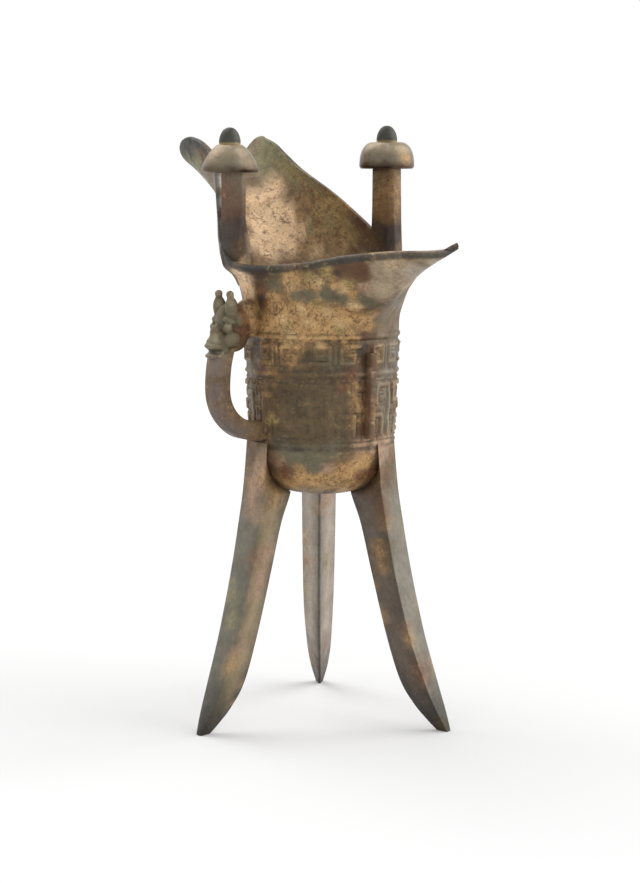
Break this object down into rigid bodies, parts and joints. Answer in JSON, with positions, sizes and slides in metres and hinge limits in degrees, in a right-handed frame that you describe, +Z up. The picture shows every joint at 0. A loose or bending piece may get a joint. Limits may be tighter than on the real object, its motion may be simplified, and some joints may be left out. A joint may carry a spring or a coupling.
{
  "type": "bronze jue wine vessel",
  "caption": "Archaic cast bronze wine cup on blade legs, with a long open spout, pointed tail, capped posts on the lip and a strap handle with an animal head.",
  "frame": {"origin": "middle of the vessel's footprint box, on the surface it stands on", "axes": "+Z up, +X towards the tail, -X towards the spout, -Y towards the handle"},
  "size_m": [0.1492, 0.0887, 0.2003],
  "materials": {
    "patinated_bronze": "old patinated bronze, dull brown-olive with tan and grey-green areas"
  },
  "bodies": {
    "root": {"jue_vessel": "patinated_bronze"}
  },
  "joints": []
}
